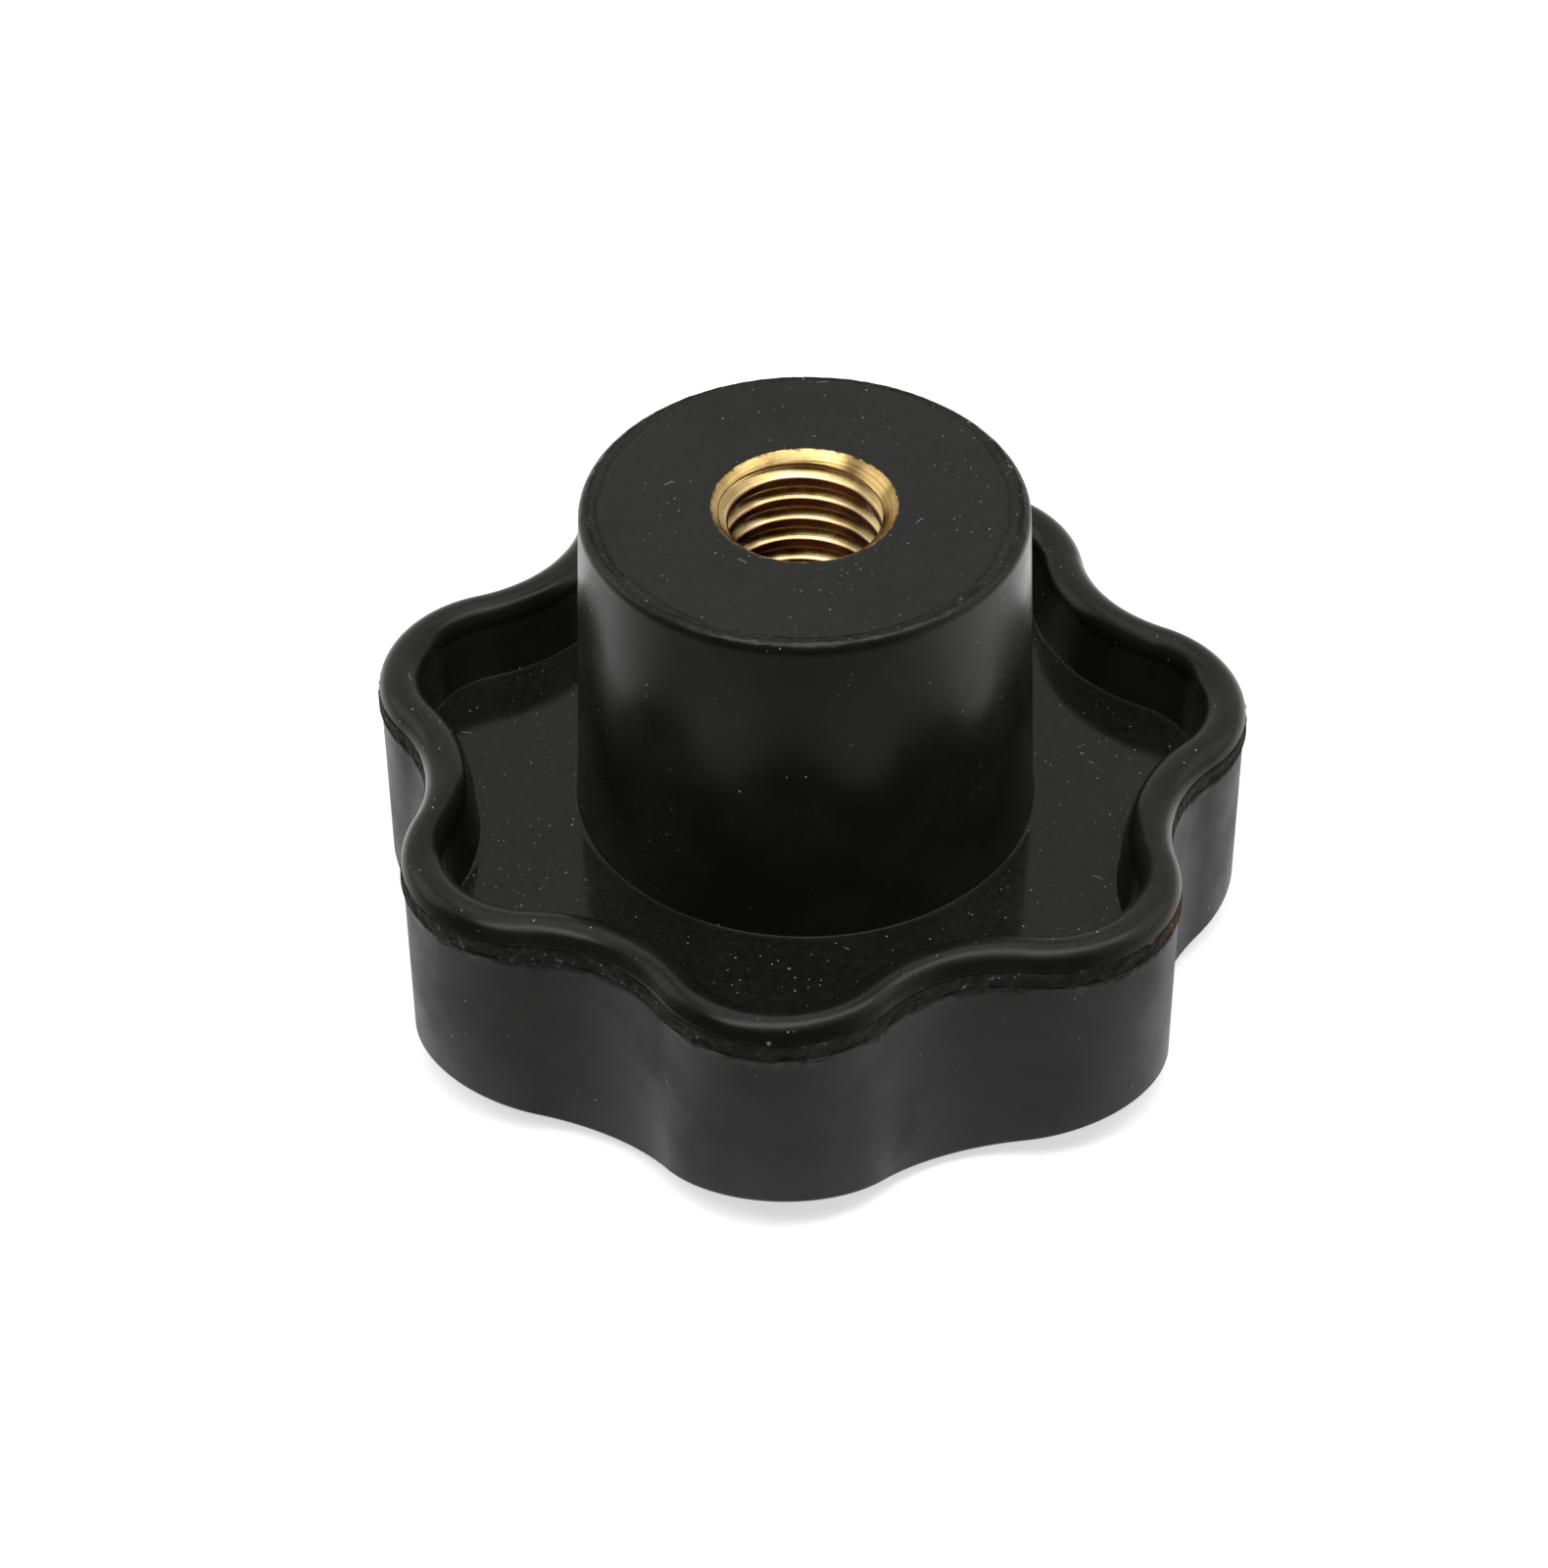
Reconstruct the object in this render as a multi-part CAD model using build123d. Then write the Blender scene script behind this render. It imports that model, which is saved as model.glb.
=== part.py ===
"""Seven-lobed star knob: a moulded plastic head and hub with a brass bush set in it.

The knob stands on its front face with its hub up. +Z is the axis of the thread and
points out of its mouth. Z = 0 is the flat middle of the front face, and the first lobe
points along -Y. All sizes are in millimetres, and angles in degrees.
"""
from build123d import *
from math import cos, radians, sin, sqrt, tan
import os

# Star outline of the head: round lobes and round waists, tangent to one another
lobe_count = 7
head_diameter = 63.0  # circle round the tips of the lobes
lobe_radius = 9.5
waist_radius = 10.5

# Front face: a shallow dome with a flat middle to stand on
dome_radius = 73.0
dome_width = 7.15  # from the tips of the lobes in to the flat middle
front_bevel = 0.2

# Rim: a bead with a round on each side of a narrow crest
rim_height = 18.9
rim_width = 3.3
rim_crest = 0.1

# Outer wall, and the parting band that stands out from it under the outer round
wall_draft = 0.3  # the wall leans in towards the front face
parting_band = 1.05
parting_overhang = 0.2

# Recess inside the rim
recess_depth = 5.6
recess_draft = 4.0  # the inner wall leans in towards the floor

# Hub
hub_height = 38.0  # from the front face to the hub's own face
hub_top_diameter = 30.6
hub_draft = 1.9  # the hub is widest at the recess floor
hub_bevel = 0.7

# Thread and its countersunk mouth
thread_diameter = 12.0
thread_flank_height = 0.8  # from the thread's root in to its crest
thread_depth = 20.0  # full-size drilled depth below the hub's face
drill_point_angle = 118.0
mouth_relief = 0.9  # the countersink's mouth is this much wider than the thread
mouth_angle = 90.0

# Outside of the bush: a collar at the mouth, and two knurled bands with a groove between
bush_length = 26.0
collar_land = 0.1  # brass left round the countersink in the hub's face
collar_length = 2.0
knurl_diameter = 17.0
knurl_depth = 0.4
knurl_count = 36
groove_diameter = 14.8
groove_width = 3.0
upper_knurl_length = 10.0


def star_outline(outward=0.0):
    """The head's outline as a face, moved out by that much, or in if it is negative.

    Each lobe's arc meets each waist's arc on the line between their centres.
    """
    half_step = 180 / lobe_count
    lobe_centre = head_diameter / 2 - lobe_radius
    between_centres = lobe_radius + waist_radius
    across = lobe_centre * sin(radians(half_step))
    waist_centre = lobe_centre * cos(radians(half_step)) + sqrt(between_centres**2 - across**2)

    def point(radius, half_steps):
        return Vector(0, -radius).rotate(Axis.Z, half_step * half_steps)

    def join(lobe, waist):
        start = point(lobe_centre, lobe)
        towards_waist = (point(waist_centre, waist) - start).normalized()
        return start + towards_waist * (lobe_radius + outward)

    with BuildSketch() as star:
        with BuildLine():
            for lobe in range(0, 2 * lobe_count, 2):
                tip = point(head_diameter / 2 + outward, lobe)
                waist = point(waist_centre - waist_radius + outward, lobe + 1)
                ThreePointArc(join(lobe, lobe - 1), tip, join(lobe, lobe + 1))
                ThreePointArc(join(lobe, lobe + 1), waist, join(lobe + 2, lobe + 1))
        make_face()
    return star.sketch


def domed_blank():
    """A round blank as tall as the rim, whose underside is the domed front face."""
    tip_radius = head_diameter / 2
    flat_radius = tip_radius - dome_width
    dome_centre = sqrt(dome_radius**2 - flat_radius**2)
    dome_edge = dome_centre - sqrt(dome_radius**2 - tip_radius**2)
    with BuildPart() as blank:
        with BuildSketch(Plane.XZ):
            with BuildLine():
                Line((0, 0), (flat_radius, 0))
                RadiusArc((flat_radius, 0), (tip_radius, dome_edge), -dome_radius)
                Polyline((tip_radius, dome_edge), (tip_radius, rim_height), (0, rim_height), (0, 0))
            make_face()
        revolve(axis=Axis.Z)
    return blank.part


def moulded_head():
    """The lobed head, with its domed front, parting band, rounded rim and recess.

    Each round of the rim is laid out in three flats that touch the true round and share
    its right angle in four equal turns. The middle flat is cut first.
    """
    rim_round = (rim_width - rim_crest) / 2
    flat_turn = radians(90 / 4)
    middle_flat = rim_round * (1 - tan(flat_turn))
    side_flat = rim_round * (tan(flat_turn) - tan(flat_turn / 2))
    parting_height = rim_height - rim_round - parting_band
    with BuildPart() as head:
        with BuildSketch(Plane.XY.offset(parting_height)):
            add(star_outline(-parting_overhang))
        extrude(amount=-parting_height, taper=wall_draft)
        add(domed_blank(), mode=Mode.INTERSECT)
        wall_edges = head.faces().filter_by(GeomType.CONE).edges()
        front_edges = wall_edges.filter_by(lambda edge: edge.bounding_box().max.Z < parting_height / 2)
        chamfer(front_edges, front_bevel)

        with BuildSketch(Plane.XY.offset(parting_height)):
            add(star_outline())
        extrude(amount=rim_height - parting_height)
        with BuildSketch(Plane.XY.offset(rim_height)):
            add(star_outline(-rim_width))
        extrude(amount=-recess_depth, taper=recess_draft, mode=Mode.SUBTRACT)
        chamfer(head.edges().group_by(Axis.Z)[-1], middle_flat)
        chamfer(head.edges().group_by(Axis.Z)[-1] + head.edges().group_by(Axis.Z)[-2], side_flat)
    return head.part


def add_hub(head):
    """The head with its drafted hub, which rises from the floor of the recess."""
    hub_rise = hub_height - rim_height + recess_depth
    top_radius = hub_top_diameter / 2
    base_radius = top_radius + hub_rise * tan(radians(hub_draft))
    with BuildPart() as moulding:
        add(head)
        with Locations((0, 0, rim_height - recess_depth)):
            Cone(base_radius, top_radius, hub_rise, align=(Align.CENTER, Align.CENTER, Align.MIN))
        chamfer(moulding.edges().group_by(Axis.Z)[-1], hub_bevel)
    return moulding.part


def knurled_band(top, length):
    """A band of straight V-shaped teeth round the bush, hanging down from that height."""
    tooth_angle = 360 / knurl_count
    crest = knurl_diameter / 2
    outline = []
    for tooth in range(knurl_count):
        outline.append(Vector(crest, 0).rotate(Axis.Z, tooth_angle * tooth))
        outline.append(Vector(crest - knurl_depth, 0).rotate(Axis.Z, tooth_angle * (tooth + 0.5)))
    with BuildPart() as band:
        with BuildSketch(Plane.XY.offset(top)):
            with BuildLine():
                Polyline(*outline, close=True)
            make_face()
        extrude(amount=-length)
    return band.part


def bush_blank():
    """The outside of the bush, as it is before it is drilled and as the moulding grips it."""
    hang = (Align.CENTER, Align.CENTER, Align.MAX)
    collar_radius = (thread_diameter + mouth_relief) / 2 + collar_land
    shoulder = hub_height - collar_length
    lower_knurl_top = shoulder - upper_knurl_length - groove_width
    lower_knurl_length = bush_length - collar_length - upper_knurl_length - groove_width
    with BuildPart() as blank:
        with Locations((0, 0, hub_height)):
            Cylinder(collar_radius, collar_length, align=hang)
        with Locations((0, 0, shoulder)):
            Cylinder(groove_diameter / 2, bush_length - collar_length, align=hang)
        add(knurled_band(shoulder, upper_knurl_length))
        add(knurled_band(lower_knurl_top, lower_knurl_length))
    return blank.part


def threaded_hole():
    """The blind hole of the bush: countersunk mouth, straight bore and drill point.

    The bore is at the crests of the thread.
    """
    bore_radius = thread_diameter / 2 - thread_flank_height
    mouth_radius = (thread_diameter + mouth_relief) / 2
    countersink_depth = (mouth_radius - bore_radius) / tan(radians(mouth_angle / 2))
    point_depth = bore_radius / tan(radians(drill_point_angle / 2))
    with BuildPart() as hole:
        with BuildSketch(Plane.XZ):
            with BuildLine():
                Polyline(
                    (0, hub_height),
                    (mouth_radius, hub_height),
                    (bore_radius, hub_height - countersink_depth),
                    (bore_radius, hub_height - thread_depth),
                    (0, hub_height - thread_depth - point_depth),
                    close=True,
                )
            make_face()
        revolve(axis=Axis.Z)
    return hole.part


bush = bush_blank()
knob_body = add_hub(moulded_head()) - bush
threaded_insert = bush - threaded_hole()

os.makedirs("parts", exist_ok=True)
export_step(knob_body, "parts/knob_body.step")
export_step(threaded_insert, "parts/threaded_insert.step")
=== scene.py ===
"""Dresses the star knob: a black moulded knob with a tapped brass bush, on a pale table.

Lengths are in millimetres until a finished mesh is scaled to metres, and Z = 0 is the
table that the knob's front face stands on.
"""
import math

import bmesh
import bpy
from mathutils import Matrix, Vector, noise


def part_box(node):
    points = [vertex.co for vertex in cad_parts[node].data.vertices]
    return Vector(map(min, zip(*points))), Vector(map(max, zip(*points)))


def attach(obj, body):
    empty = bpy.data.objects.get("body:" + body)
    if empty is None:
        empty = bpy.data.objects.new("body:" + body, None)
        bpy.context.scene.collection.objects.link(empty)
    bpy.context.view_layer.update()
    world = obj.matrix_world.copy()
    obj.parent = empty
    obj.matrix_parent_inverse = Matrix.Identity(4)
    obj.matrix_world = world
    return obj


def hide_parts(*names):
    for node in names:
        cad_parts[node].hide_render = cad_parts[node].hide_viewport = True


METRES_PER_MM = 0.001

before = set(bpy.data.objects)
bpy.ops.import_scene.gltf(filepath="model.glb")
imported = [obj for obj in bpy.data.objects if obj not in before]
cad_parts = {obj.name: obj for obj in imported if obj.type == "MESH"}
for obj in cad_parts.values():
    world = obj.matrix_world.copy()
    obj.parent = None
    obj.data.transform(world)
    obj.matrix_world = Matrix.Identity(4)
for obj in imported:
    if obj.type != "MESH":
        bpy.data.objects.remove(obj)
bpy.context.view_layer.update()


# ---------------------------------------------------------------------------
# The knob: one thermoset moulding, black all through. A lobed head with a
# rolled rim round a recess, and a stout hub that rises from the recess floor.
# The mould parts under the rim, where the flash was trimmed off by hand.

head_lobes = 7
lobe_radius = 9.5
waist_radius = 10.5
steps_on_lobe = 94
steps_on_waist = 52

parting_height = 16.25
rim_height = 18.9
recess_floor = 13.3
rim_width = 3.3
recess_draft = math.radians(4.0)
front_flat_radius = 24.35
dome_radius = 73.0
parting_inset = 0.02
hub_bottom_radius = 16.12
hub_top_radius = 15.3

knob_low, knob_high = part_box("knob_body")
hub_height = knob_high.z / METRES_PER_MM
head_radius = -knob_low.y / METRES_PER_MM
bush_low, bush_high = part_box("threaded_insert")
socket_floor = bush_low.z / METRES_PER_MM
socket_radius = bush_high.x / METRES_PER_MM
collar_radius = 6.55
collar_depth = 2.0
mouth_radius = 6.33

RECESS_FLOOR, RECESS_WALL, MOULD_SKIN, HUB_WALL, HUB_FACE, OUTER_WALL = range(6)

lobe_reach = head_radius - lobe_radius
half_step = math.pi / head_lobes
waist_reach = lobe_reach * math.cos(half_step) + math.sqrt(
    (lobe_radius + waist_radius) ** 2 - (lobe_reach * math.sin(half_step)) ** 2
)
lobe_half_sweep = math.atan2(
    waist_reach * math.sin(half_step), waist_reach * math.cos(half_step) - lobe_reach
)
waist_half_sweep = lobe_half_sweep - half_step


def polar(radius, angle, height=0.0):
    return Vector((radius * math.cos(angle), radius * math.sin(angle), height))


def star_loop(mesh, outward):
    """Spins a vertex from lobe to waist all round, and returns the closed loop of edges."""
    first_lobe = -math.pi / 2
    start = polar(lobe_reach, first_lobe) + polar(lobe_radius, first_lobe - lobe_half_sweep)
    runner = mesh.verts.new(start)
    for lobe in range(head_lobes):
        lobe_angle = first_lobe + 2 * half_step * lobe
        arcs = (
            (polar(lobe_reach, lobe_angle), 2 * lobe_half_sweep, steps_on_lobe),
            (polar(waist_reach, lobe_angle + half_step), -2 * waist_half_sweep, steps_on_waist),
        )
        for centre, sweep, steps in arcs:
            spun = bmesh.ops.spin(
                mesh, geom=[runner], cent=centre, axis=(0, 0, 1), angle=sweep, steps=steps
            )
            last = spun["geom_last"]
            runner = next(item for item in last if isinstance(item, bmesh.types.BMVert))
    bmesh.ops.remove_doubles(mesh, verts=mesh.verts[:], dist=1e-4)
    for vert in mesh.verts:
        turn = math.atan2(vert.co.y, vert.co.x) - first_lobe
        nearest = round(turn / (2 * half_step))
        from_lobe = vert.co - polar(lobe_reach, first_lobe + 2 * half_step * nearest)
        if from_lobe.length < lobe_radius + 1e-3:
            vert[outward] = from_lobe.normalized()
        else:
            between = math.floor(turn / (2 * half_step)) + 0.5
            waist_centre = polar(waist_reach, first_lobe + 2 * half_step * between)
            vert[outward] = (waist_centre - vert.co).normalized()
    return mesh.edges[:]


def next_loop(mesh, loop, place, slot=0):
    """Extrudes a closed loop of edges, and puts each new vertex where place(vertex) says."""
    extruded = bmesh.ops.extrude_edge_only(mesh, edges=loop)["geom"]
    fresh = {item for item in extruded if isinstance(item, bmesh.types.BMVert)}
    for vert in fresh:
        vert.co = place(vert)
    for item in extruded:
        if isinstance(item, bmesh.types.BMFace):
            item.material_index = slot
    return [
        item
        for item in extruded
        if isinstance(item, bmesh.types.BMEdge) and fresh.issuperset(item.verts)
    ]


def next_loops(mesh, loop, places, slot=0):
    """Extrudes the loop once for each of those places in turn."""
    for place in places:
        loop = next_loop(mesh, loop, place, slot)
    return loop


def dome_height(radius):
    """How high the domed front face is above the table at that distance from the axis."""
    if radius <= front_flat_radius:
        return 0.0
    centre_height = math.sqrt(dome_radius**2 - front_flat_radius**2)
    return centre_height - math.sqrt(dome_radius**2 - radius**2)


def on_circle(radius, height):
    """Places a vertex at that distance from the axis and at that height."""

    def place(vert):
        flat = vert.co.xy.normalized() * radius
        return Vector((flat.x, flat.y, height))

    return place


def knob_mesh():
    mesh = bmesh.new()
    outward = mesh.verts.layers.float_vector.new("outward")
    home = mesh.verts.layers.float_vector.new("home")
    parting_loop = star_loop(mesh, outward)
    for vert in mesh.verts:
        vert.co.z = parting_height
        vert[home] = vert.co
        vert.co -= vert[outward] * parting_inset

    def offset_to(distance, height):
        """Places a vertex that far outside the star outline, at that height."""

        def place(vert):
            spot = vert[home] + vert[outward] * distance
            return Vector((spot.x, spot.y, height))

        return place

    def torn(distance, height, depth):
        """The same, torn by up to that depth where the flash was cut away."""

        def place(vert):
            spot = offset_to(distance, height)(vert)
            chips = noise.fractal(spot * 1.3, 1.0, 2.0, 4)
            drawn_out = spot * Vector((0.45, 0.45, 1.5)) + Vector((7, 3, 1))
            nicks = noise.fractal(drawn_out, 0.8, 2.2, 4)
            spot -= vert[outward] * depth * max(0.0, 0.35 + chips)
            spot.z += depth * nicks
            return spot

        return place

    def drawn_in(distance, circle, share, height_at):
        """Places a vertex part of the way from an offset outline to a circle round the axis."""

        def place(vert):
            spot = vert[home] + vert[outward] * distance
            radius = spot.xy.length * (1 - share) + circle * share
            flat = spot.xy.normalized() * radius
            return Vector((flat.x, flat.y, height_at(radius)))

        return place

    # Down the drafted wall, round the front edge and in over the domed front
    wall_inset = 0.2
    front_inset = 0.285
    front_round = 0.35
    wall = ((0.13, 0.12, 0.12), (0.07, 0.32, 0.08), (0.02, 0.65, 0.0), (-0.01, 1.2, 0.0))
    down_wall = [
        torn(distance - wall_inset, parting_height - drop, depth) for distance, drop, depth in wall
    ]
    loop = next_loops(mesh, parting_loop, down_wall, OUTER_WALL)
    loop = next_loop(mesh, loop, offset_to(-front_inset + 0.03, 8.0), OUTER_WALL)

    def front_edge(angle):
        """Places a vertex on the small round between the wall and the domed front."""
        inset = front_inset + front_round * (1 - math.cos(angle))
        lift = front_round * (1 - math.sin(angle))

        def place(vert):
            spot = vert[home] - vert[outward] * inset
            return Vector((spot.x, spot.y, dome_height(spot.xy.length) + lift))

        return place

    edge_steps = 4
    round_edge = [front_edge(math.pi / 2 * step / edge_steps) for step in range(edge_steps + 1)]
    loop = next_loops(mesh, loop, round_edge, OUTER_WALL)
    over_front = [
        drawn_in(-front_inset - front_round, front_flat_radius - 0.4, share, dome_height)
        for share in (0.1, 0.35, 0.6, 0.8, 0.92, 1.0)
    ]
    loop = next_loops(mesh, loop, over_front, MOULD_SKIN)
    bmesh.ops.contextual_create(mesh, geom=loop, mat_nr=MOULD_SKIN)

    # Up over the parting ridge, across its groove and over the bead of the rim
    bead_radius = 1.54
    bead_inset = 1.66
    bead_centre = rim_height - bead_radius
    # Distance outside the outline, rise above the parting line and depth of the tears
    ridge = (
        (-0.05, 0.06, 0.14),
        (-0.02, 0.16, 0.17),
        (-0.02, 0.30, 0.17),
        (-0.02, 0.45, 0.17),
        (-0.02, 0.60, 0.17),
        (-0.02, 0.75, 0.17),
        (-0.02, 0.90, 0.17),
        (-0.02, 1.04, 0.17),
        (-0.04, 1.13, 0.15),
        (-0.08, 1.18, 0.12),
        (-0.16, 1.20, 0.08),
        (-0.33, 1.21, 0.02),
        (-0.34, 1.25, 0.0),
    )
    up_ridge = [torn(distance, parting_height + rise, depth) for distance, rise, depth in ridge]
    loop = next_loops(mesh, parting_loop, up_ridge, OUTER_WALL)
    bead_steps = 18
    under_bead = 8.0
    bead_angles = [under_bead, under_bead + 0.6]
    for step in range(1, bead_steps + 1):
        bead_angles.append(under_bead + (180 - under_bead) * step / bead_steps)
    for degrees in bead_angles:
        angle = math.radians(degrees)
        distance = bead_radius * math.cos(angle) - bead_inset
        height = bead_centre + bead_radius * math.sin(angle)
        loop = next_loop(mesh, loop, offset_to(distance, height), MOULD_SKIN)
    wall_foot = -rim_width - (rim_height - recess_floor) * math.tan(recess_draft)
    foot = ((0.22, 3.0), (0.01, 0.08), (-0.02, 0.02), (-0.08, 0.0))
    down_recess = [offset_to(wall_foot + distance, recess_floor + rise) for distance, rise in foot]
    loop = next_loops(mesh, loop, down_recess, RECESS_WALL)

    # In across the recess floor to the hub, and up the hub to its face
    over_floor = [
        drawn_in(wall_foot - 0.1, hub_bottom_radius + 0.1, share, lambda radius: recess_floor)
        for share in (0.04, 0.5, 0.96, 1.0)
    ]
    loop = next_loops(mesh, loop, over_floor, RECESS_FLOOR)
    hub_wall = (
        (hub_bottom_radius + 0.05, recess_floor + 0.02),
        (hub_bottom_radius + 0.01, recess_floor + 0.06),
        (hub_bottom_radius, recess_floor + 0.14),
        (hub_bottom_radius - 0.28, recess_floor + 8.0),
        (hub_bottom_radius - 0.55, recess_floor + 16.0),
        (hub_top_radius, hub_height - 1.0),
    )
    up_hub = [on_circle(radius, height) for radius, height in hub_wall]
    loop = next_loops(mesh, loop, up_hub, HUB_WALL)

    def hub_edge(inset, drop):
        """Places a vertex on the small round and worn lip of the hub's edge."""

        def place(vert):
            spot = on_circle(hub_top_radius - inset, hub_height - drop)(vert)
            spot.z += min(1.0, inset / 0.3) * 0.05 * noise.fractal(spot * 0.9, 1.0, 2.0, 4)
            spot.z = min(spot.z, hub_height - 0.01)
            return spot

        return place

    edge_round = 0.72
    lip_drop = 0.04
    for degrees in range(0, 57, 8):
        turn = math.radians(degrees)
        inset = edge_round * (1 - math.cos(turn))
        drop = lip_drop + edge_round * (1 - math.sin(turn))
        loop = next_loop(mesh, loop, hub_edge(inset, drop), MOULD_SKIN)
    worn_lip = [hub_edge(0.345, 0.145), hub_edge(0.50, 0.045)]
    loop = next_loops(mesh, loop, worn_lip, MOULD_SKIN)
    ring_start = 0.53

    def trimmed_ring(inset, drop, tear):
        """Places a vertex on the ring round the hub's face, which is cut a little off centre."""

        def place(vert):
            turn = math.atan2(vert.co.y, vert.co.x)
            off_centre = 0.72 + 0.28 * math.cos(turn * 2) + 0.14 * math.sin(turn * 3 + 1.0)
            off_centre += 0.25 * noise.fractal(polar(3.0, turn), 1.0, 2.0, 3)
            width = max(0.0, inset - ring_start) * max(0.35, off_centre)
            radius = hub_top_radius - min(inset, ring_start) - width
            spot = on_circle(radius, hub_height - drop)(vert)
            spot.z += tear * noise.fractal(spot * 2.4, 1.0, 2.0, 4)
            spot.z = min(spot.z, hub_height)
            return spot

        return place

    # Inset from the hub's edge, drop below its face and height of the tears
    ring = (
        (ring_start, 0.035, 0.03),
        (0.68, 0.030, 0.05),
        (0.88, 0.035, 0.05),
        (1.08, 0.040, 0.06),
        (1.25, 0.060, 0.06),
        (1.33, 0.160, 0.08),
        (1.41, 0.160, 0.08),
        (1.49, 0.040, 0.05),
        (1.58, 0.010, 0.02),
        (1.70, 0.0, 0.0),
        (1.90, 0.0, 0.0),
    )
    over_ring = [trimmed_ring(inset, drop, tear) for inset, drop, tear in ring]
    loop = next_loops(mesh, loop, over_ring, HUB_FACE)

    def lip(radius, height):
        """Places a vertex on the thin lip of moulding that laps over the edge of the bush."""

        def place(vert):
            turn = math.atan2(vert.co.y, vert.co.x)
            worn = 0.10 * noise.fractal(polar(9.0, turn), 0.8, 2.0, 5)
            return on_circle(radius + worn, height)(vert)

        return place

    over_face = [
        on_circle(10.5, hub_height),
        on_circle(mouth_radius + 0.35, hub_height),
        lip(mouth_radius + 0.06, hub_height),
        lip(mouth_radius, hub_height - 0.03),
    ]
    loop = next_loops(mesh, loop, over_face, HUB_FACE)
    into_socket = [
        on_circle(mouth_radius + 0.1, hub_height - 0.07),
        on_circle(collar_radius + 0.01, hub_height - 0.07),
        on_circle(collar_radius + 0.01, hub_height - collar_depth),
        on_circle(socket_radius + 0.01, hub_height - collar_depth),
        on_circle(socket_radius + 0.01, socket_floor - 0.01),
    ]
    loop = next_loops(mesh, loop, into_socket, MOULD_SKIN)
    bmesh.ops.contextual_create(mesh, geom=loop, mat_nr=MOULD_SKIN)

    bmesh.ops.recalc_face_normals(mesh, faces=mesh.faces[:])
    bmesh.ops.scale(mesh, vec=(METRES_PER_MM,) * 3, verts=mesh.verts[:])
    return mesh


def piece_from(mesh, name):
    """Turns a finished bmesh into a smooth-shaded object at the origin."""
    data = bpy.data.meshes.new(name)
    mesh.to_mesh(data)
    mesh.free()
    data.shade_smooth()
    piece = bpy.data.objects.new(name, data)
    bpy.context.scene.collection.objects.link(piece)
    return piece


class Signal:
    """A shader socket that takes part in sums: each operator adds its own Math node."""

    def __init__(self, finish, socket):
        self.finish = finish
        self.socket = socket

    def sibling(self, output):
        """Another output of the same node."""
        return Signal(self.finish, self.socket.node.outputs[output])

    def __add__(self, other):
        return self.finish.math("ADD", self, other)

    def __radd__(self, other):
        return self.finish.math("ADD", other, self)

    def __sub__(self, other):
        return self.finish.math("SUBTRACT", self, other)

    def __rsub__(self, other):
        return self.finish.math("SUBTRACT", other, self)

    def __mul__(self, other):
        return self.finish.math("MULTIPLY", self, other)

    def __rmul__(self, other):
        return self.finish.math("MULTIPLY", other, self)

    def __lt__(self, other):
        return self.finish.math("LESS_THAN", self, other)


class Finish:
    """The nodes of a material or of the world: node() adds one, and the rest are uses of it."""

    def __init__(self, owner):
        owner.use_nodes = True
        self.owner = owner
        self.tree = owner.node_tree
        self.tree.nodes.clear()

    def node(self, kind, settings=None, values=None, output=0):
        """Adds a node with those settings, and values or links, and gives one of its outputs."""
        node = self.tree.nodes.new(kind)
        for name, setting in (settings or {}).items():
            setattr(node, name, setting)
        for name, value in (values or {}).items():
            if isinstance(value, Signal):
                self.tree.links.new(value.socket, node.inputs[name])
            else:
                node.inputs[name].default_value = value
        return Signal(self, node.outputs[output]) if node.outputs else None

    def ramp(self, value, start, end, low=0.0, high=1.0):
        """A smooth change from low to high while the value goes from start to end."""
        return self.node(
            "ShaderNodeMapRange",
            {"interpolation_type": "SMOOTHSTEP"},
            {"Value": value, "From Min": start, "From Max": end, "To Min": low, "To Max": high},
        )

    def blend(self, factor, first, second):
        """A colour that goes from the first to the second."""
        values = {0: factor, 6: first, 7: second}
        return self.node("ShaderNodeMix", {"data_type": "RGBA"}, values, 2)

    def math(self, operation, *operands):
        """A Math node."""
        return self.node("ShaderNodeMath", {"operation": operation}, dict(enumerate(operands)))

    def place(self):
        """Where a point lies on the object, in metres."""
        return self.node("ShaderNodeTexCoord").sibling("Object")

    def axes(self, vector):
        """The X, Y and Z of a vector."""
        split = self.node("ShaderNodeSeparateXYZ", None, {"Vector": vector})
        return split, split.sibling("Y"), split.sibling("Z")

    def from_axis(self, across, along):
        """How far from the knob's axis a point lies."""
        return self.math("SQRT", across * across + along * along)

    def from_point(self, place, point):
        """How far from that point a point lies."""
        settings = {"operation": "DISTANCE"}
        return self.node("ShaderNodeVectorMath", settings, {0: place, 1: point}, "Value")

    def grain(self, vector, per_mm, detail=3.0, roughness=0.5):
        """Noise with that many swells to a millimetre."""
        values = {"Vector": vector, "Scale": per_mm / METRES_PER_MM}
        values.update({"Detail": detail, "Roughness": roughness})
        return self.node("ShaderNodeTexNoise", None, values)

    def cells(self, place, size):
        """The cells of a loose grid of that size in mm: their nearness, and three chances each."""
        values = {"Vector": place, "Scale": 1 / (size * METRES_PER_MM), "Randomness": 1.0}
        near = self.node("ShaderNodeTexVoronoi", {"feature": "F1"}, values)
        chances = self.node("ShaderNodeSeparateColor", None, {"Color": near.sibling("Color")})
        return near, (chances, chances.sibling("Green"), chances.sibling("Blue"))

    def bump(self, height):
        """The normal of a surface with that relief in mm."""
        values = {"Height": height, "Strength": 1.0, "Distance": METRES_PER_MM}
        return self.node("ShaderNodeBump", None, values)

    def finished(self, shader, output="ShaderNodeOutputMaterial"):
        """The material or the world, with that shader as its surface."""
        self.node(output, None, {"Surface": shader})
        return self.owner


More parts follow.
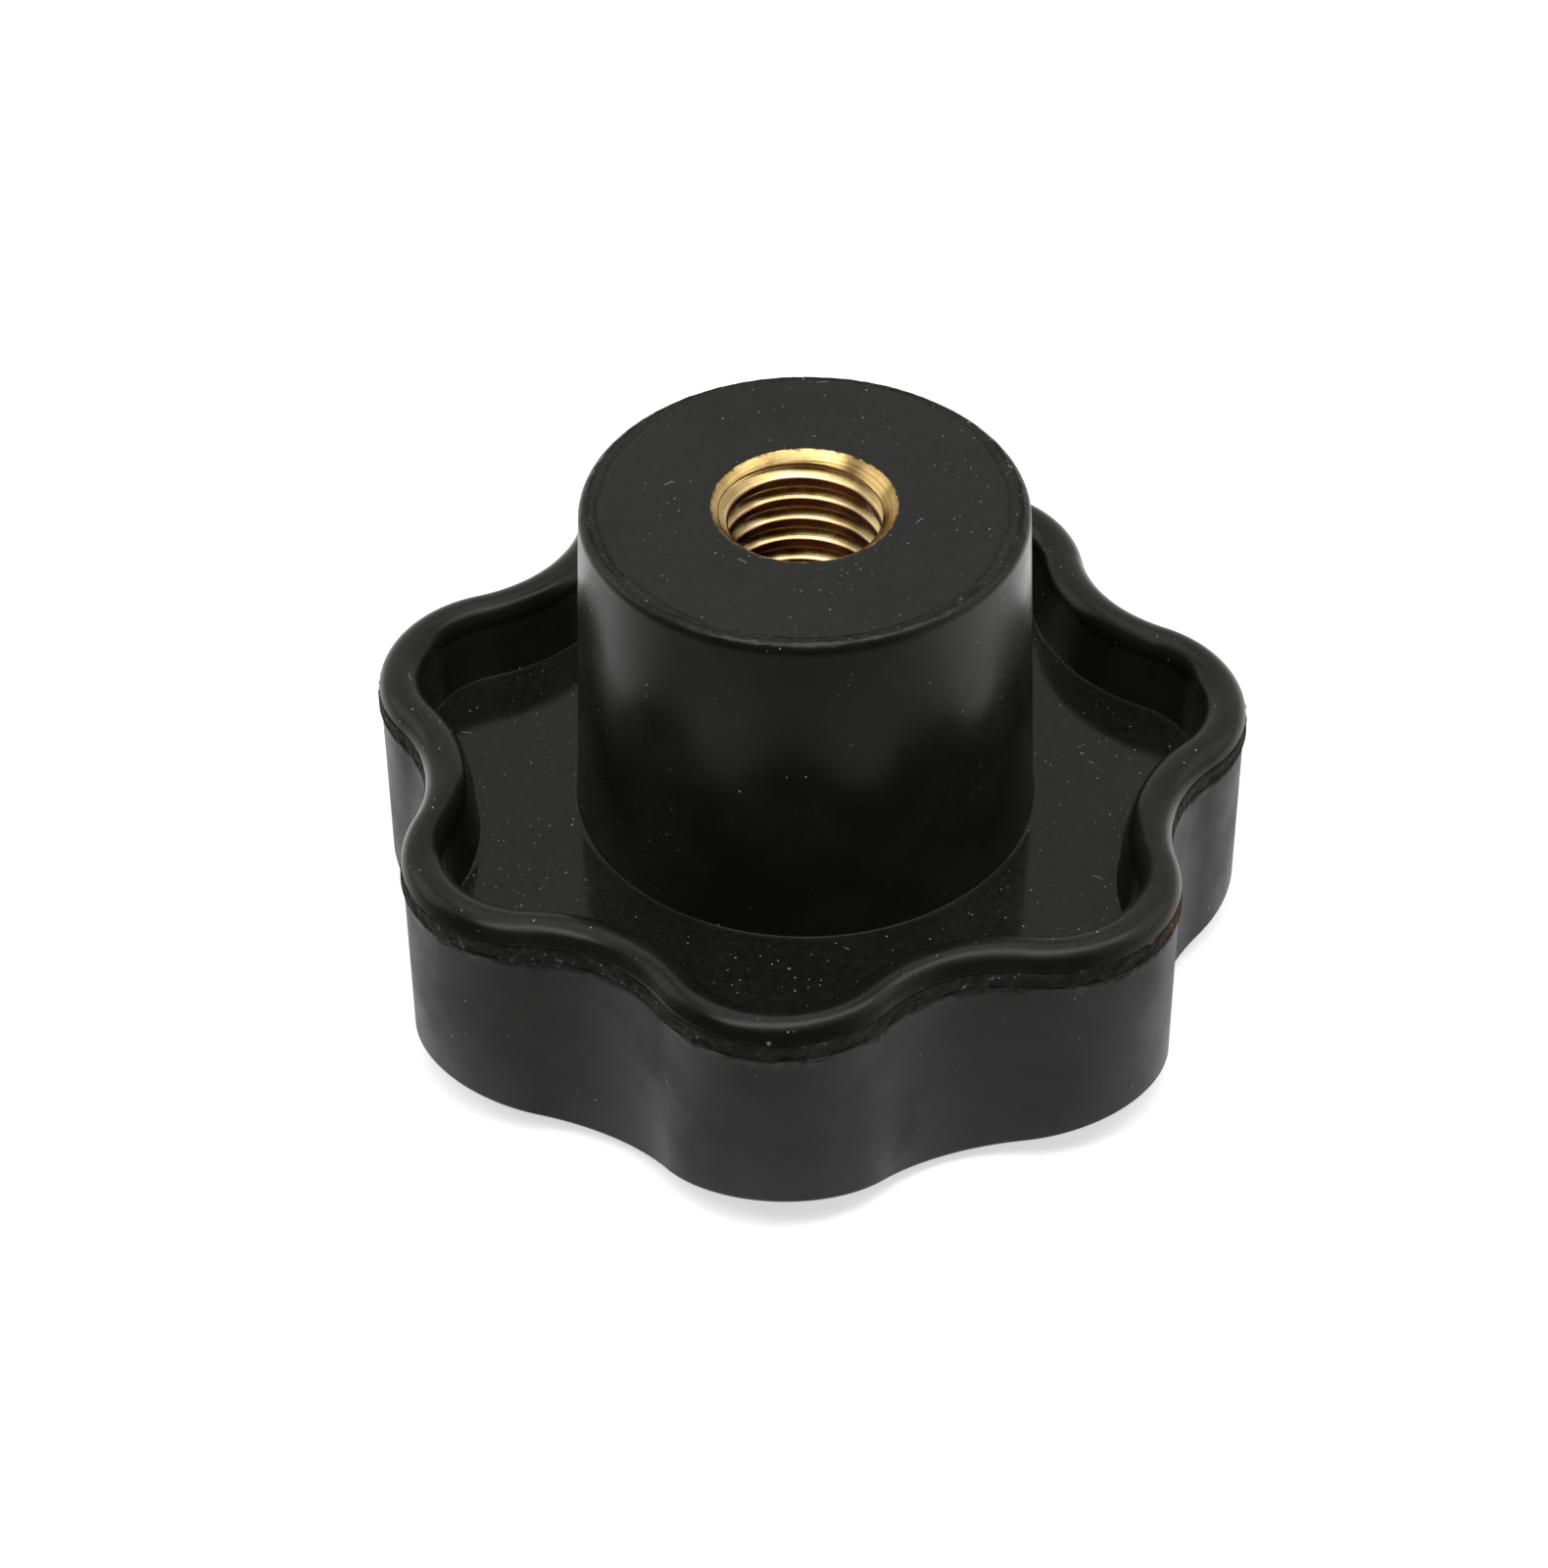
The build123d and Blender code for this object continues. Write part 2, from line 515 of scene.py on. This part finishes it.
def drifting(finish, place):
    """How thick the dust lies, from 0 to 1: here and there, and swept into the recess's front."""
    drifts = ((0.0, -22.0, 7.0), (21.0, 7.0, 7.0), (-20.0, -10.0, 8.0), (12.0, -20.0, 5.0))
    thick = finish.ramp(finish.grain(place, 0.26, 5.0, 0.65), 0.45, 0.66, 0.20, 0.75)
    for x, y, reach in drifts:
        away = finish.from_point(place, Vector((x, y, recess_floor)) * METRES_PER_MM)
        near = finish.ramp(away, reach * METRES_PER_MM, 0.3 * reach * METRES_PER_MM)
        patchy = finish.ramp(finish.grain(place, 0.6, 3.0), 0.35, 0.6, 0.2, 1.0)
        thick = finish.math("MAXIMUM", thick, near * patchy)
    return thick


def specks(finish, place, cell, size, share):
    """Round specks of dust, of that size in mm, in that share of the cells of a loose grid."""
    near, (chance, girth, shine) = finish.cells(place, cell)
    reach = size / cell * (0.35 + 0.65 * girth)
    spot = finish.ramp(near, reach, reach * 0.5)
    return spot * (chance < share) * (0.18 + 0.82 * (shine * shine))


def fibres(finish, place, cell, share):
    """Short fibres, each a little bent, in that share of the cells of a loose grid."""
    near, (chance, heading, curl) = finish.cells(place, cell)
    operands = {0: place, 1: near.sibling("Position")}
    offset = finish.node("ShaderNodeVectorMath", {"operation": "SUBTRACT"}, operands)
    turn = {"Vector": offset, "Angle": heading * math.tau}
    turned = finish.node("ShaderNodeVectorRotate", {"rotation_type": "Z_AXIS"}, turn)
    length, width, height = finish.axes(turned)
    width = width + length * length * ((curl - 0.5) * (1.0 / METRES_PER_MM))
    dash = chance < share
    for reach, middle, end in ((length, 0.30, 0.45), (width, 0.025, 0.06), (height, 0.20, 0.30)):
        away = finish.math("ABSOLUTE", reach)
        dash = dash * finish.ramp(away, end * METRES_PER_MM, middle * METRES_PER_MM)
    return dash * 0.28


def under_rim(finish, place):
    """Where the flash was trimmed off the parting ridge, down to a ragged edge on the wall."""
    up = finish.axes(place)[2]
    wander = finish.grain(place, 0.5, 5.0, 0.65) - 0.5
    low = (parting_height - 0.75) * METRES_PER_MM
    high = (parting_height - 0.15) * METRES_PER_MM
    return finish.ramp(up + wander * (2.2 * METRES_PER_MM), low, high)


def round_hub(finish, place):
    """The rough ring that the trimming left round the hub's face."""
    across, along, _ = finish.axes(place)
    radius = finish.from_axis(across, along)
    wander = finish.grain(place, 0.6, 5.0, 0.65) - 0.5
    inner = (hub_top_radius - 0.95) * METRES_PER_MM
    return finish.ramp(radius + wander * (1.1 * METRES_PER_MM), inner, inner + 0.3 * METRES_PER_MM)


def dust_and_top_sheen(finish, place, veil_of_dust_and_sheen, dusty):
    """Specks and fibres of dust, and a pale veil on what faces up: partly fine dust, partly a
    painted sheen of the overhead light.
    """
    thick = drifting(finish, place) * dusty
    normal = finish.node("ShaderNodeNewGeometry").sibling("Normal")
    upward = finish.ramp(finish.axes(normal)[2], 0.55, 0.98)
    marks = upward * fibres(finish, place, 1.9, thick * 0.2)
    for cell, size, share in ((0.42, 0.090, 0.5), (0.8, 0.12, 0.45), (2.4, 0.19, 0.6)):
        marks = finish.math("MAXIMUM", marks, specks(finish, place, cell, size, thick * share))
    # A pale veil on what faces up: partly fine dust, partly a painted sheen of the overhead light.
    mottled = finish.ramp(finish.grain(place, 1.5, 6.0, 0.8), 0.35, 0.70, 0.2 * veil_of_dust_and_sheen, 1.9 * veil_of_dust_and_sheen)
    return marks, upward * mottled


def torn_colour(finish, place, chips, dull, pale):
    """The bare resin where the flash was cut away: dull and pale, with a stain and flecks."""
    patches = finish.grain(place, 0.5, 3.0)
    torn = finish.blend(finish.ramp(chips * 0.5 + patches * 0.5, 0.42, 0.60), dull, pale)
    away = finish.from_point(place, resin_stain)
    stain_and_gap_shade = finish.ramp(away, 4.5 * METRES_PER_MM, 1.0 * METRES_PER_MM)
    torn = finish.blend(stain_and_gap_shade, torn, (0.045, 0.020, 0.007, 1))
    flecks = finish.ramp(chips, 0.60, 0.67) * finish.ramp(patches, 0.44, 0.56)
    return finish.blend(flecks, torn, (0.27, 0.265, 0.21, 1))


def moulded_black(name, tint, ior, roughness, veil_of_dust_and_sheen, streaks, dusty, trimmed=None):
    """Black phenolic: a deep gloss from the mould, dusty, with a painted sheen on what faces up,
    and dull where it was trimmed.
    """
    finish = Finish(bpy.data.materials.new(name))
    place = finish.place()
    cloud = finish.grain(place, 0.14, 5.0, 0.6)
    darker = [0.75 * part for part in tint] + [1]
    lighter = [1.25 * part for part in tint] + [1]
    colour = finish.blend(finish.ramp(cloud, 0.35, 0.7), darker, lighter)
    rough = finish.ramp(cloud, 0.3, 0.75, roughness * 0.8, roughness * 1.25)
    height = finish.grain(place, 9.0, 3.0, 0.6) * 0.0005 + finish.grain(place, 0.25, 3.0) * 0.012
    along_draw = {0: place, 1: (1, 1, 0.12)}
    drawn = finish.node("ShaderNodeVectorMath", {"operation": "MULTIPLY"}, along_draw)
    height = height + finish.grain(drawn, 0.45, 3.0, 0.6) * streaks
    if trimmed:
        mask, dull, pale = trimmed
        cut = mask(finish, place)
        chips = finish.grain(place, 2.2, 6.0, 0.72)
        colour = finish.blend(cut, colour, torn_colour(finish, place, chips, dull, pale))
        rough = rough + cut * 0.35
        height = height + cut * chips * 0.07
    marks, dust_veil_and_sheen = dust_and_top_sheen(finish, place, veil_of_dust_and_sheen, dusty)
    # The pale veil on upward faces: fine dust and painted sheen.
    colour = finish.blend(dust_veil_and_sheen, colour, (0.45, 0.44, 0.36, 1))
    colour = finish.blend(marks, colour, (0.55, 0.55, 0.50, 1))
    values = {"Base Color": colour, "Roughness": rough + marks * 0.4, "IOR": ior}
    values["Normal"] = finish.bump(height)
    return finish.finished(finish.node("ShaderNodeBsdfPrincipled", None, values))


resin_stain = Vector((26.0, -15.5, 16.7)) * METRES_PER_MM
knob = piece_from(knob_mesh(), "moulded_knob")
torn_rim = (under_rim, (0.0036, 0.0038, 0.0024, 1), (0.0135, 0.0138, 0.0085, 1))
torn_hub = (round_hub, (0.0030, 0.0032, 0.0020, 1), (0.013, 0.0132, 0.0095, 1))
# In the order of the slots: name, tint, IOR, roughness, veil of dust and painted sheen, streaks,
# dust, trimming
skins = (
    ("recess_floor_gloss", (0.0062, 0.0062, 0.0052), 1.30, 0.12, 0.010, 0.0, 1.0),
    ("recess_wall_satin", (0.0150, 0.0154, 0.0108), 1.30, 0.30, 0.010, 0.006, 0.4),
    ("mould_skin", (0.0080, 0.0085, 0.0052), 1.285, 0.25, 0.006, 0.0, 0.45),
    ("hub_wall_satin", (0.0125, 0.0127, 0.0100), 1.265, 0.26, 0.0, 0.010, 0.25),
    ("ground_hub_face", (0.0026, 0.0028, 0.0014), 1.32, 0.50, 0.006, 0.0, 1.0, torn_hub),
    ("outer_wall_satin", (0.0040, 0.0040, 0.0034), 1.30, 0.46, 0.0, 0.02, 0.25, torn_rim),
)
for skin in skins:
    knob.data.materials.append(moulded_black(*skin))
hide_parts("knob_body")
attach(knob, "root")


# ---------------------------------------------------------------------------
# The bush: turned from brass bar, knurled where the moulding grips it, drilled
# blind, tapped M12 x 1.75 from the hub's face and countersunk at its mouth.

pitch = 1.75
rows_per_pitch = 32
columns = 192
crest_radius = 5.2
root_radius = 6.0
half_crest_rows = 5
half_root_rows = 2
crest_depth_at_back = 2.0
back_of_bore = math.radians(95.07)
thread_end = hub_height - 17.0
bore_end = hub_height - 20.0
drill_half_angle = math.radians(59.0)
first_band_end = hub_height - 12.0
second_band_start = hub_height - 15.0
groove_radius = 7.4
knurls = 36
knurl_depth = 0.4

TAPPED, DRILLED = range(2)


def thread_radius(rows_from_crest):
    """The bore's radius that many rows of the mesh away from the middle of a crest."""
    away = abs((rows_from_crest + rows_per_pitch / 2) % rows_per_pitch - rows_per_pitch / 2)
    flank_rows = rows_per_pitch / 2 - half_crest_rows - half_root_rows
    share = (away - half_crest_rows) / flank_rows
    return crest_radius + (root_radius - crest_radius) * max(0.0, min(1.0, share))


def bush_mesh():
    mesh = bmesh.new()
    row_height = pitch / rows_per_pitch
    crest_at_start = hub_height - crest_depth_at_back - pitch * back_of_bore / (2 * math.pi)
    bottom = thread_end - 1.5 * pitch
    above_mouth = 0.8
    rows = round((hub_height + above_mouth - bottom) / row_height)
    column = []
    for row in range(rows):
        height = bottom + row * row_height
        radius = thread_radius((height - crest_at_start) / row_height)
        column.append(mesh.verts.new((radius, 0, height)))
    lines = [mesh.edges.new(pair) for pair in zip(column, column[1:])]
    bmesh.ops.spin(
        mesh,
        geom=column + lines,
        axis=(0, 0, 1),
        cent=(0, 0, 0),
        dvec=(0, 0, pitch / columns),
        angle=2 * math.pi,
        steps=columns,
    )
    bmesh.ops.remove_doubles(mesh, verts=mesh.verts[:], dist=1e-3)
    bmesh.ops.smooth_vert(
        mesh, verts=mesh.verts[:], factor=0.5, use_axis_x=True, use_axis_y=True, use_axis_z=False
    )

    # The countersink takes the crests away near the mouth
    def cone_at(vert):
        depth = hub_height - vert.co.z
        belly = 0.265 * depth * max(0.0, mouth_radius - crest_radius - depth)
        return mouth_radius - depth - belly

    for vert in mesh.verts:
        if vert.co.xy.length < cone_at(vert):
            vert.co.xy *= cone_at(vert) / vert.co.xy.length
    for face in mesh.faces:
        if all(vert.co.xy.length < cone_at(vert) + 1e-3 for vert in face.verts):
            face.material_index = DRILLED
    for height, facing in ((hub_height, 1), (thread_end, -1)):
        bmesh.ops.bisect_plane(
            mesh,
            geom=mesh.verts[:] + mesh.edges[:] + mesh.faces[:],
            dist=1e-5,
            plane_co=(0, 0, height),
            plane_no=(0, 0, facing),
            clear_outer=True,
        )

    def rim_at(height):
        """The open edges that the cut at that height left."""
        return [
            edge
            for edge in mesh.edges
            if edge.is_boundary and all(abs(vert.co.z - height) < 1e-3 for vert in edge.verts)
        ]

    # Below the thread the drilled bore runs on to its point
    point_height = bore_end - crest_radius / math.tan(drill_half_angle)
    drilled = [
        on_circle(crest_radius, thread_end - 0.01),
        on_circle(crest_radius, bore_end),
        on_circle(crest_radius / 2, (bore_end + point_height) / 2),
        on_circle(1e-4, point_height),
    ]
    loop = next_loops(mesh, rim_at(thread_end), drilled, DRILLED)
    tip = list({vert for edge in loop for vert in edge.verts})
    bmesh.ops.pointmerge(mesh, verts=tip, merge_co=(0, 0, point_height))

    # Round the mouth and down the outside: collar, knurled band, groove, knurled band
    def knurled(radius, height):
        """Places a vertex on a knurled band of that radius."""

        def place(vert):
            turn = math.atan2(vert.co.y, vert.co.x) / (2 * math.pi) * knurls
            share = abs(turn % 1 - 0.5) * 2
            return on_circle(radius - knurl_depth * (1 - share), height)(vert)

        return place

    outside = [
        on_circle(mouth_radius + 0.05, hub_height - 0.01),
        on_circle(mouth_radius + 0.12, hub_height - 0.08),
        on_circle(collar_radius, hub_height - 0.08),
        on_circle(collar_radius, hub_height - collar_depth),
        knurled(socket_radius, hub_height - collar_depth),
        knurled(socket_radius, first_band_end),
        on_circle(groove_radius, first_band_end),
        on_circle(groove_radius, second_band_start),
        knurled(socket_radius, second_band_start),
        knurled(socket_radius, socket_floor),
    ]
    loop = next_loops(mesh, rim_at(hub_height), outside, DRILLED)
    bmesh.ops.contextual_create(mesh, geom=loop, mat_nr=DRILLED)
    bmesh.ops.recalc_face_normals(mesh, faces=mesh.faces[:])
    bmesh.ops.scale(mesh, vec=(METRES_PER_MM,) * 3, verts=mesh.verts[:])
    return mesh


def turned_brass(name, tapped):
    """Free-cutting brass, with fine tool marks round the axis or along the thread, painted shade
    on the thread's crests, and painted shade round the mouth's edge under the moulding's lip.
    """
    finish = Finish(bpy.data.materials.new(name))
    place = finish.place()
    across, along, up = finish.axes(place)
    radius = finish.from_axis(across, along)
    if tapped:
        lead = pitch * METRES_PER_MM / (2 * math.pi)
        phase = up * (1 / lead) - finish.math("ARCTAN2", along, across)
        wound = (finish.math("SINE", phase) * lead, finish.math("COSINE", phase) * lead)
    else:
        wound = (up, across * 0.02)
    tooled = finish.node("ShaderNodeCombineXYZ", None, {0: radius, 1: wound[0], 2: wound[1]})
    rings = finish.grain(tooled, 7.0, 4.0, 0.7)
    blotch = finish.grain(place, 0.5, 4.0)
    mixed = finish.ramp(rings * 0.6 + blotch * 0.4, 0.38, 0.62)
    if tapped:
        colour = finish.blend(mixed, (0.44, 0.29, 0.105, 1), (0.74, 0.57, 0.30, 1))
        # Painted shade and reflection: the thread's crests are coloured dark brown, standing in
        # for the dark far side of the bore that they mirror.
        flank = (crest_radius + 0.16) * METRES_PER_MM
        crest = (crest_radius + 0.04) * METRES_PER_MM
        colour = finish.blend(finish.ramp(radius, flank, crest), colour, (0.20, 0.090, 0.062, 1))
    else:
        colour = finish.blend(mixed, (0.40, 0.26, 0.085, 1), (0.62, 0.44, 0.19, 1))
        # Painted shade: the brass turns dark brown in patches round the mouth's edge, where it
        # runs in under the moulding's lip.
        wander = finish.grain(place, 1.4, 4.0, 0.6) * (0.7 * METRES_PER_MM)
        gap_shade_begins = (mouth_radius + 0.22) * METRES_PER_MM
        gap_shade_full = (mouth_radius + 0.42) * METRES_PER_MM
        stain_and_gap_shade = finish.ramp(radius + wander, gap_shade_begins, gap_shade_full)
        colour = finish.blend(stain_and_gap_shade, colour, (0.10, 0.055, 0.022, 1))
    rough = finish.ramp(blotch, 0.35, 0.65, 0.17, 0.28)
    values = {"Base Color": colour, "Metallic": 1.0, "Roughness": rough}
    values["Normal"] = finish.bump(rings * 0.015 + finish.grain(place, 4.0, 3.0, 0.6) * 0.003)
    return finish.finished(finish.node("ShaderNodeBsdfPrincipled", None, values))


bush = piece_from(bush_mesh(), "tapped_brass_bush")
bush.data.materials.append(turned_brass("tapped_brass", True))
bush.data.materials.append(turned_brass("turned_brass_finish", False))
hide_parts("threaded_insert")
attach(bush, "root")


# ---------------------------------------------------------------------------
# The table: a wide sheet of plain white paper under a white tent. It is nearly
# pure white to the eye, and takes a faint shadow close to the foot of the knob.
# The sizes of the stage are in metres.

table_radius = 0.9
table_drop = 0.02 * METRES_PER_MM
paper_glow = 0.6


def seen_by(finish):
    """1 for a ray that sees the surface straight or mirrored, 0 for one that takes its light."""
    path = finish.node("ShaderNodeLightPath")
    mirrored = path.sibling("Is Glossy Ray") + path.sibling("Is Transmission Ray")
    return finish.math("MINIMUM", path.sibling("Is Camera Ray") + mirrored, 1.0)


def white_paper():
    """White paper with a glow where it is seen or mirrored, and clear from below."""
    finish = Finish(bpy.data.materials.new("white_paper"))
    paper = finish.node("ShaderNodeBsdfDiffuse", None, {"Color": (0.82, 0.82, 0.82, 1)})
    white = {"Color": (1, 1, 1, 1), "Strength": paper_glow}
    glow = finish.node("ShaderNodeEmission", None, white)
    lit = finish.node("ShaderNodeAddShader", None, {0: paper, 1: glow})
    sheet = finish.node("ShaderNodeMixShader", None, {0: seen_by(finish), 1: paper, 2: lit})
    below = finish.node("ShaderNodeNewGeometry").sibling("Backfacing")
    clear = finish.node("ShaderNodeBsdfTransparent")
    layers = {0: below, 1: sheet, 2: clear}
    return finish.finished(finish.node("ShaderNodeMixShader", None, layers))


table_mesh = bmesh.new()
bmesh.ops.create_circle(
    table_mesh,
    cap_ends=True,
    radius=table_radius,
    segments=96,
    matrix=Matrix.Translation((0, 0, -table_drop)),
)
table = piece_from(table_mesh, "paper_table")
table.data.materials.append(white_paper())


# ---------------------------------------------------------------------------
# The light: a tent of white cloth all round, which gives a third of what it seems
# to, and four softboxes. Two hang over the knob, and one stands at each side.

lamp_share = 0.3
knob_middle = Vector((0, 0, 0.02))


def tent_light():
    """The white cloth all round: plain light on the knob, and white where it is seen."""
    tent = Finish(bpy.data.worlds.new("white_tent"))
    strength = lamp_share + (1 - lamp_share) * seen_by(tent)
    cloth = tent.node("ShaderNodeBackground", None, {"Strength": strength})
    return tent.finished(cloth, "ShaderNodeOutputWorld")


bpy.context.scene.world = tent_light()


def softbox(name, place, width, depth, watts):
    """A rectangular lamp that faces the knob."""
    light = bpy.data.lights.new(name, "AREA")
    light.shape = "RECTANGLE"
    light.size = width
    light.size_y = depth
    light.energy = watts
    lamp = bpy.data.objects.new(name, light)
    lamp.location = place
    lamp.rotation_euler = (knob_middle - Vector(place)).to_track_quat("-Z", "Y").to_euler()
    bpy.context.scene.collection.objects.link(lamp)


softbox("overhead_strip", (0.06, -0.1325, 0.60), 1.04, 0.205, 2.4)
softbox("overhead_panel", (-0.055, 0.0, 0.605), 0.81, 0.46, 1.1)
softbox("left_softbox", (-0.6, 0.1, 0.35), 0.4, 0.4, 0.5)
softbox("right_softbox", (0.6, 0.1, 0.35), 0.4, 0.4, 0.4)


# ---------------------------------------------------------------------------
# The dark room behind the camera's stand: a round wall and floor that show only in
# reflections, and give the gloss of the rim and the hub a dark side.

room_radius = 0.75
room_height = 0.95
room_lift = 0.001
room_faces = math.radians(-10)


def dark_room():
    """Dark towards the stand, and nothing at its sides, at its top and close to the knob."""
    finish = Finish(bpy.data.materials.new("dark_room"))
    across, along, up = finish.axes(finish.place())
    turn = finish.math("ARCTAN2", across, -1.0 * along) - room_faces
    hang = finish.ramp(finish.math("ABSOLUTE", turn), math.radians(95), math.radians(45))
    hang = hang * finish.ramp(up, room_height, 0.72 * room_height)
    hang = hang * finish.ramp(finish.from_axis(across, along), 0.040, 0.075)
    gap = finish.node("ShaderNodeBsdfTransparent")
    cloth = finish.node("ShaderNodeEmission", None, {"Color": (1, 1, 1, 1), "Strength": 0.10})
    return finish.finished(finish.node("ShaderNodeMixShader", None, {0: hang, 1: gap, 2: cloth}))


room_mesh = bmesh.new()
corner = room_mesh.verts.new((room_radius, 0, room_lift))
bmesh.ops.spin(
    room_mesh,
    geom=[corner],
    cent=(0, 0, 0),
    axis=(0, 0, 1),
    angle=2 * math.pi,
    steps=96,
    use_merge=True,
)
foot = room_mesh.edges[:]
# Up the wall, and in across the floor to near the knob
next_loop(room_mesh, foot, lambda vert: vert.co + Vector((0, 0, room_height)))
next_loop(room_mesh, foot, lambda vert: vert.co * Vector((0.045, 0.045, 1)))
room = piece_from(room_mesh, "dark_room_behind_stand")
room.data.materials.append(dark_room())
room.visible_camera = False
room.visible_diffuse = False
room.visible_shadow = False
room.visible_transmission = False


# ---------------------------------------------------------------------------
# The camera: a long lens on a stand, looking down on the knob from its front.

look_at = Vector((-3.59, 15.27, 0.0)) * METRES_PER_MM
distance = 345.46 * METRES_PER_MM
elevation = math.radians(40.51)
turned_right = math.radians(5.07)
roll = math.radians(-0.53)

lens = bpy.data.cameras.new("long_lens")
lens.sensor_width = 36.0
lens.lens = 105.4
camera = bpy.data.objects.new("camera", lens)
standing = Matrix.Rotation(turned_right, 4, "Z") @ Matrix.Rotation(math.pi / 2 - elevation, 4, "X")
back_off = Matrix.Translation((0, 0, distance)) @ Matrix.Rotation(roll, 4, "Z")
camera.matrix_world = Matrix.Translation(look_at) @ standing @ back_off
bpy.context.scene.collection.objects.link(camera)
bpy.context.scene.camera = camera

bpy.context.scene.view_settings.view_transform = "Standard"
